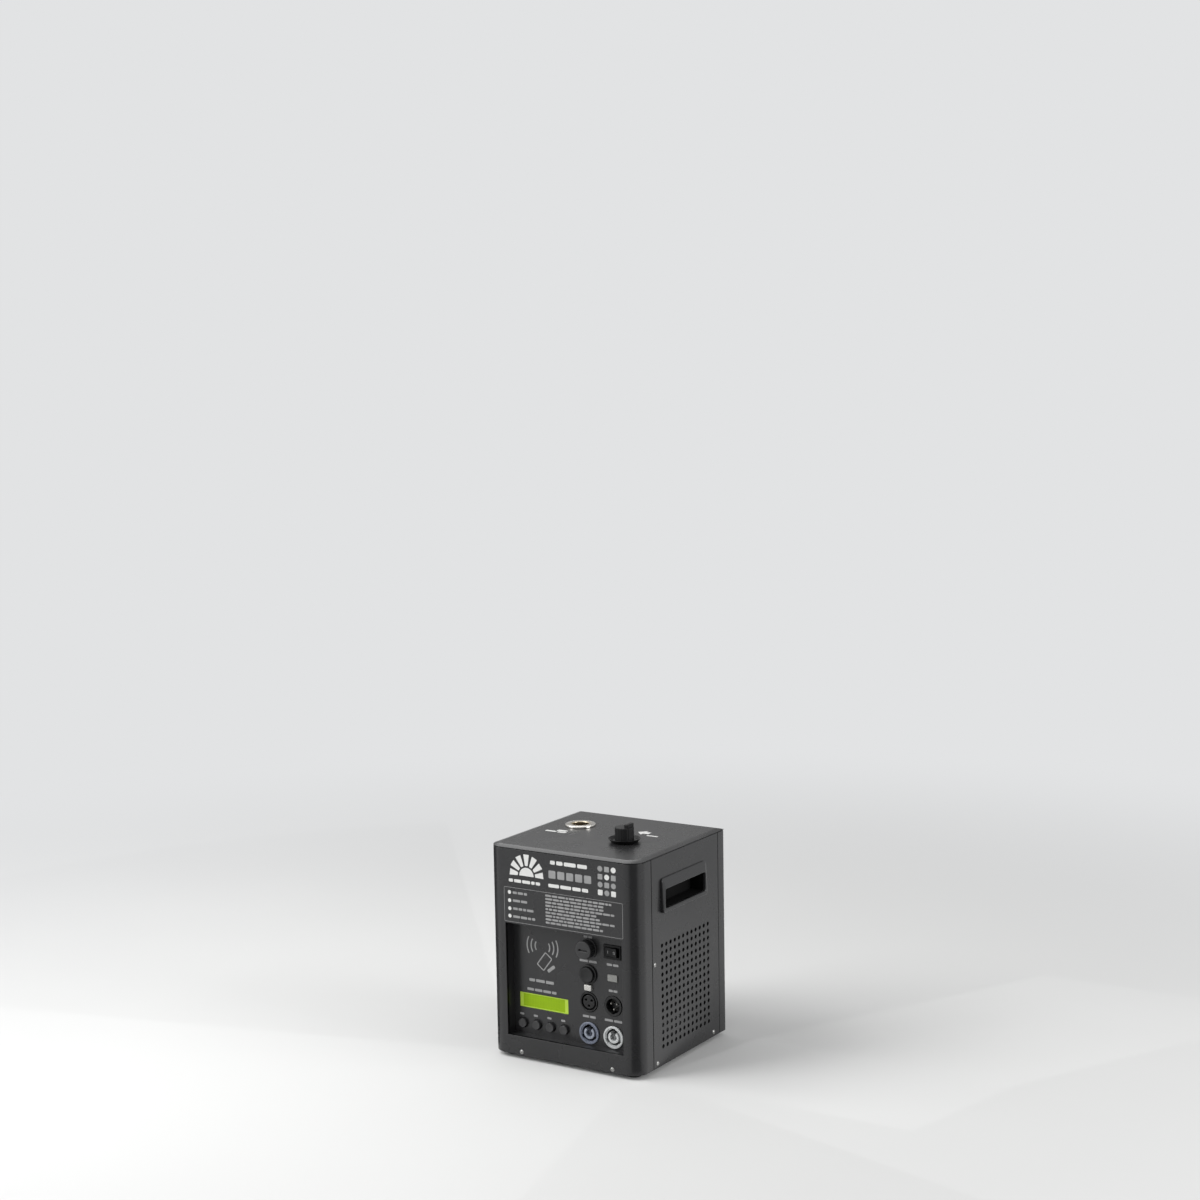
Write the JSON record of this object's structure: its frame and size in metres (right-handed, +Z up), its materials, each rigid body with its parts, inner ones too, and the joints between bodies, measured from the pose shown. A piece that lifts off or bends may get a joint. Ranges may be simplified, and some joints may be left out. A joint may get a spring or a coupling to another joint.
{
  "type": "cold spark machine",
  "caption": "Box-shaped stage effect machine with recessed control panel, side carrying handles, side vents, round outlet nozzle and a filling port on top.",
  "frame": {"origin": "on the floor, under the centre of the case", "axes": "+Z up, front panel faces -Y, +X to the right seen from the front"},
  "size_m": [0.212, 0.195, 0.271],
  "materials": {
    "coated_steel": "fine satin powder coat, charcoal grey",
    "steel_sheet": "bare zinc-plated steel",
    "stainless": "turned stainless steel, slightly heat-tinted",
    "black_plastic": "black moulded plastic, satin",
    "black_rubber": "matte black rubber",
    "blue_ring": "blue-grey moulded plastic",
    "blue_plastic": "dark blue moulded plastic",
    "grey_plastic": "light grey moulded plastic",
    "display_green": "lit yellow-green display behind clear plastic",
    "lamp_white": "white translucent lens",
    "circuit_board": "green solder mask",
    "copper": "bare copper wire",
    "mineral_wool": "pressed mineral fibre",
    "brass": "machined brass",
    "fuse_glass": "clear glass tube"
  },
  "bodies": {
    "case": {"base_pan": "steel_sheet", "foot_front_left": "black_rubber", "foot_front_right": "black_rubber", "foot_rear_left": "black_rubber", "foot_rear_right": "black_rubber", "front_shell": "coated_steel", "rear_panel": "coated_steel", "top_plate": "coated_steel", "right_side_panel": "coated_steel", "left_side_panel": "coated_steel", "right_handle": "coated_steel", "left_handle": "coated_steel", "control_panel": "coated_steel", "lcd_glass": "display_green", "lcd_board": "circuit_board", "button_board": "circuit_board", "power_in_socket": "blue_ring", "power_in_core": "blue_plastic", "power_out_socket": "grey_plastic", "power_out_core": "grey_plastic", "signal_out_socket": "black_plastic", "signal_in_socket": "black_plastic", "signal_in_insert": "stainless", "fuse_holder": "black_plastic", "start_bezel": "black_plastic", "switch_body": "black_plastic", "indicator_lamp": "lamp_white", "card_reader_board": "circuit_board", "nozzle_ring": "stainless", "nozzle_tube": "stainless", "furnace_barrel": "stainless", "heater_coil": "copper", "insulation_jacket": "mineral_wool", "feed_collar": "black_plastic", "hopper": "steel_sheet", "inner_deck": "steel_sheet", "auger_tube": "steel_sheet", "feed_motor": "steel_sheet", "blower_housing": "black_plastic", "blower_motor": "steel_sheet", "fan_frame": "black_plastic", "power_supply": "steel_sheet", "control_board": "circuit_board"},
    "menu_button_1": {"menu_button_1": "black_plastic"},
    "menu_button_2": {"menu_button_2": "black_plastic"},
    "menu_button_3": {"menu_button_3": "black_plastic"},
    "menu_button_4": {"menu_button_4": "black_plastic"},
    "start_button": {"start_button": "black_plastic"},
    "switch_rocker": {"switch_rocker": "black_plastic"},
    "signal_latch": {"signal_out_latch": "stainless"},
    "fuse_carrier": {"fuse_carrier": "black_plastic", "fuse_link": "fuse_glass"},
    "fuse_cap": {"fuse_cap": "black_plastic"},
    "feed_plug": {"feed_plug": "black_rubber"},
    "feed_cap": {"feed_cap": "black_plastic"},
    "auger": {"auger_screw": "steel_sheet", "auger_gear": "brass"},
    "motor_pinion": {"motor_pinion": "brass"},
    "blower_wheel": {"blower_impeller": "black_plastic"},
    "fan_rotor": {"fan_rotor": "black_plastic"}
  },
  "joints": [
    {"name": "menu_button_1_press", "type": "slide", "parent": "case", "child": "menu_button_1", "axis": [0, 1, 0], "range_m": [0, 0.0012], "stiffness_N_per_m": 800},
    {"name": "menu_button_2_press", "type": "slide", "parent": "case", "child": "menu_button_2", "axis": [0, 1, 0], "range_m": [0, 0.0012], "stiffness_N_per_m": 800},
    {"name": "menu_button_3_press", "type": "slide", "parent": "case", "child": "menu_button_3", "axis": [0, 1, 0], "range_m": [0, 0.0012], "stiffness_N_per_m": 800},
    {"name": "menu_button_4_press", "type": "slide", "parent": "case", "child": "menu_button_4", "axis": [0, 1, 0], "range_m": [0, 0.0012], "stiffness_N_per_m": 800},
    {"name": "start_button_press", "type": "slide", "parent": "case", "child": "start_button", "axis": [0, 1, 0], "range_m": [0, 0.003], "stiffness_N_per_m": 500},
    {"name": "switch_rocker_tip", "type": "hinge", "parent": "case", "child": "switch_rocker", "pos_m": [0.0573, -0.0825, 0.139], "axis": [0, 0, 1], "range_deg": [0, 16]},
    {"name": "signal_latch_press", "type": "slide", "parent": "case", "child": "signal_latch", "axis": [0, 1, 0], "range_m": [0, 0.0015], "stiffness_N_per_m": 600},
    {"name": "fuse_pull", "type": "slide", "parent": "case", "child": "fuse_carrier", "axis": [0, -1, 0], "range_m": [0, 0.03]},
    {"name": "fuse_cap_turn", "type": "hinge", "parent": "fuse_carrier", "child": "fuse_cap", "pos_m": [0.025, -0.089, 0.139], "axis": [0, -1, 0], "range_deg": [0, 60]},
    {"name": "feed_cap_lift", "type": "slide", "parent": "case", "child": "feed_plug", "axis": [0, 0, 1], "range_m": [0, 0.04]},
    {"name": "feed_cap_turn", "type": "hinge", "parent": "feed_plug", "child": "feed_cap", "pos_m": [0.036, -0.019, 0.259], "axis": [0, 0, 1], "range_deg": [0, 90]},
    {"name": "auger_spin", "type": "hinge", "parent": "case", "child": "auger", "pos_m": [0, 0.026, 0.168], "axis": [1, 0, 0], "continuous": true},
    {"name": "pinion_spin", "type": "hinge", "parent": "case", "child": "motor_pinion", "pos_m": [0.056, 0.0475, 0.168], "axis": [1, 0, 0], "continuous": true},
    {"name": "blower_spin", "type": "hinge", "parent": "case", "child": "blower_wheel", "pos_m": [-0.053, 0.054, 0.046], "axis": [1, 0, 0], "continuous": true},
    {"name": "fan_spin", "type": "hinge", "parent": "case", "child": "fan_rotor", "pos_m": [-0.085, 0.00585, 0.08485], "axis": [1, 0, 0], "continuous": true}
  ],
  "couplings": [
    {"joint": "pinion_spin", "follows": "auger_spin", "ratio": -2.4}
  ]
}
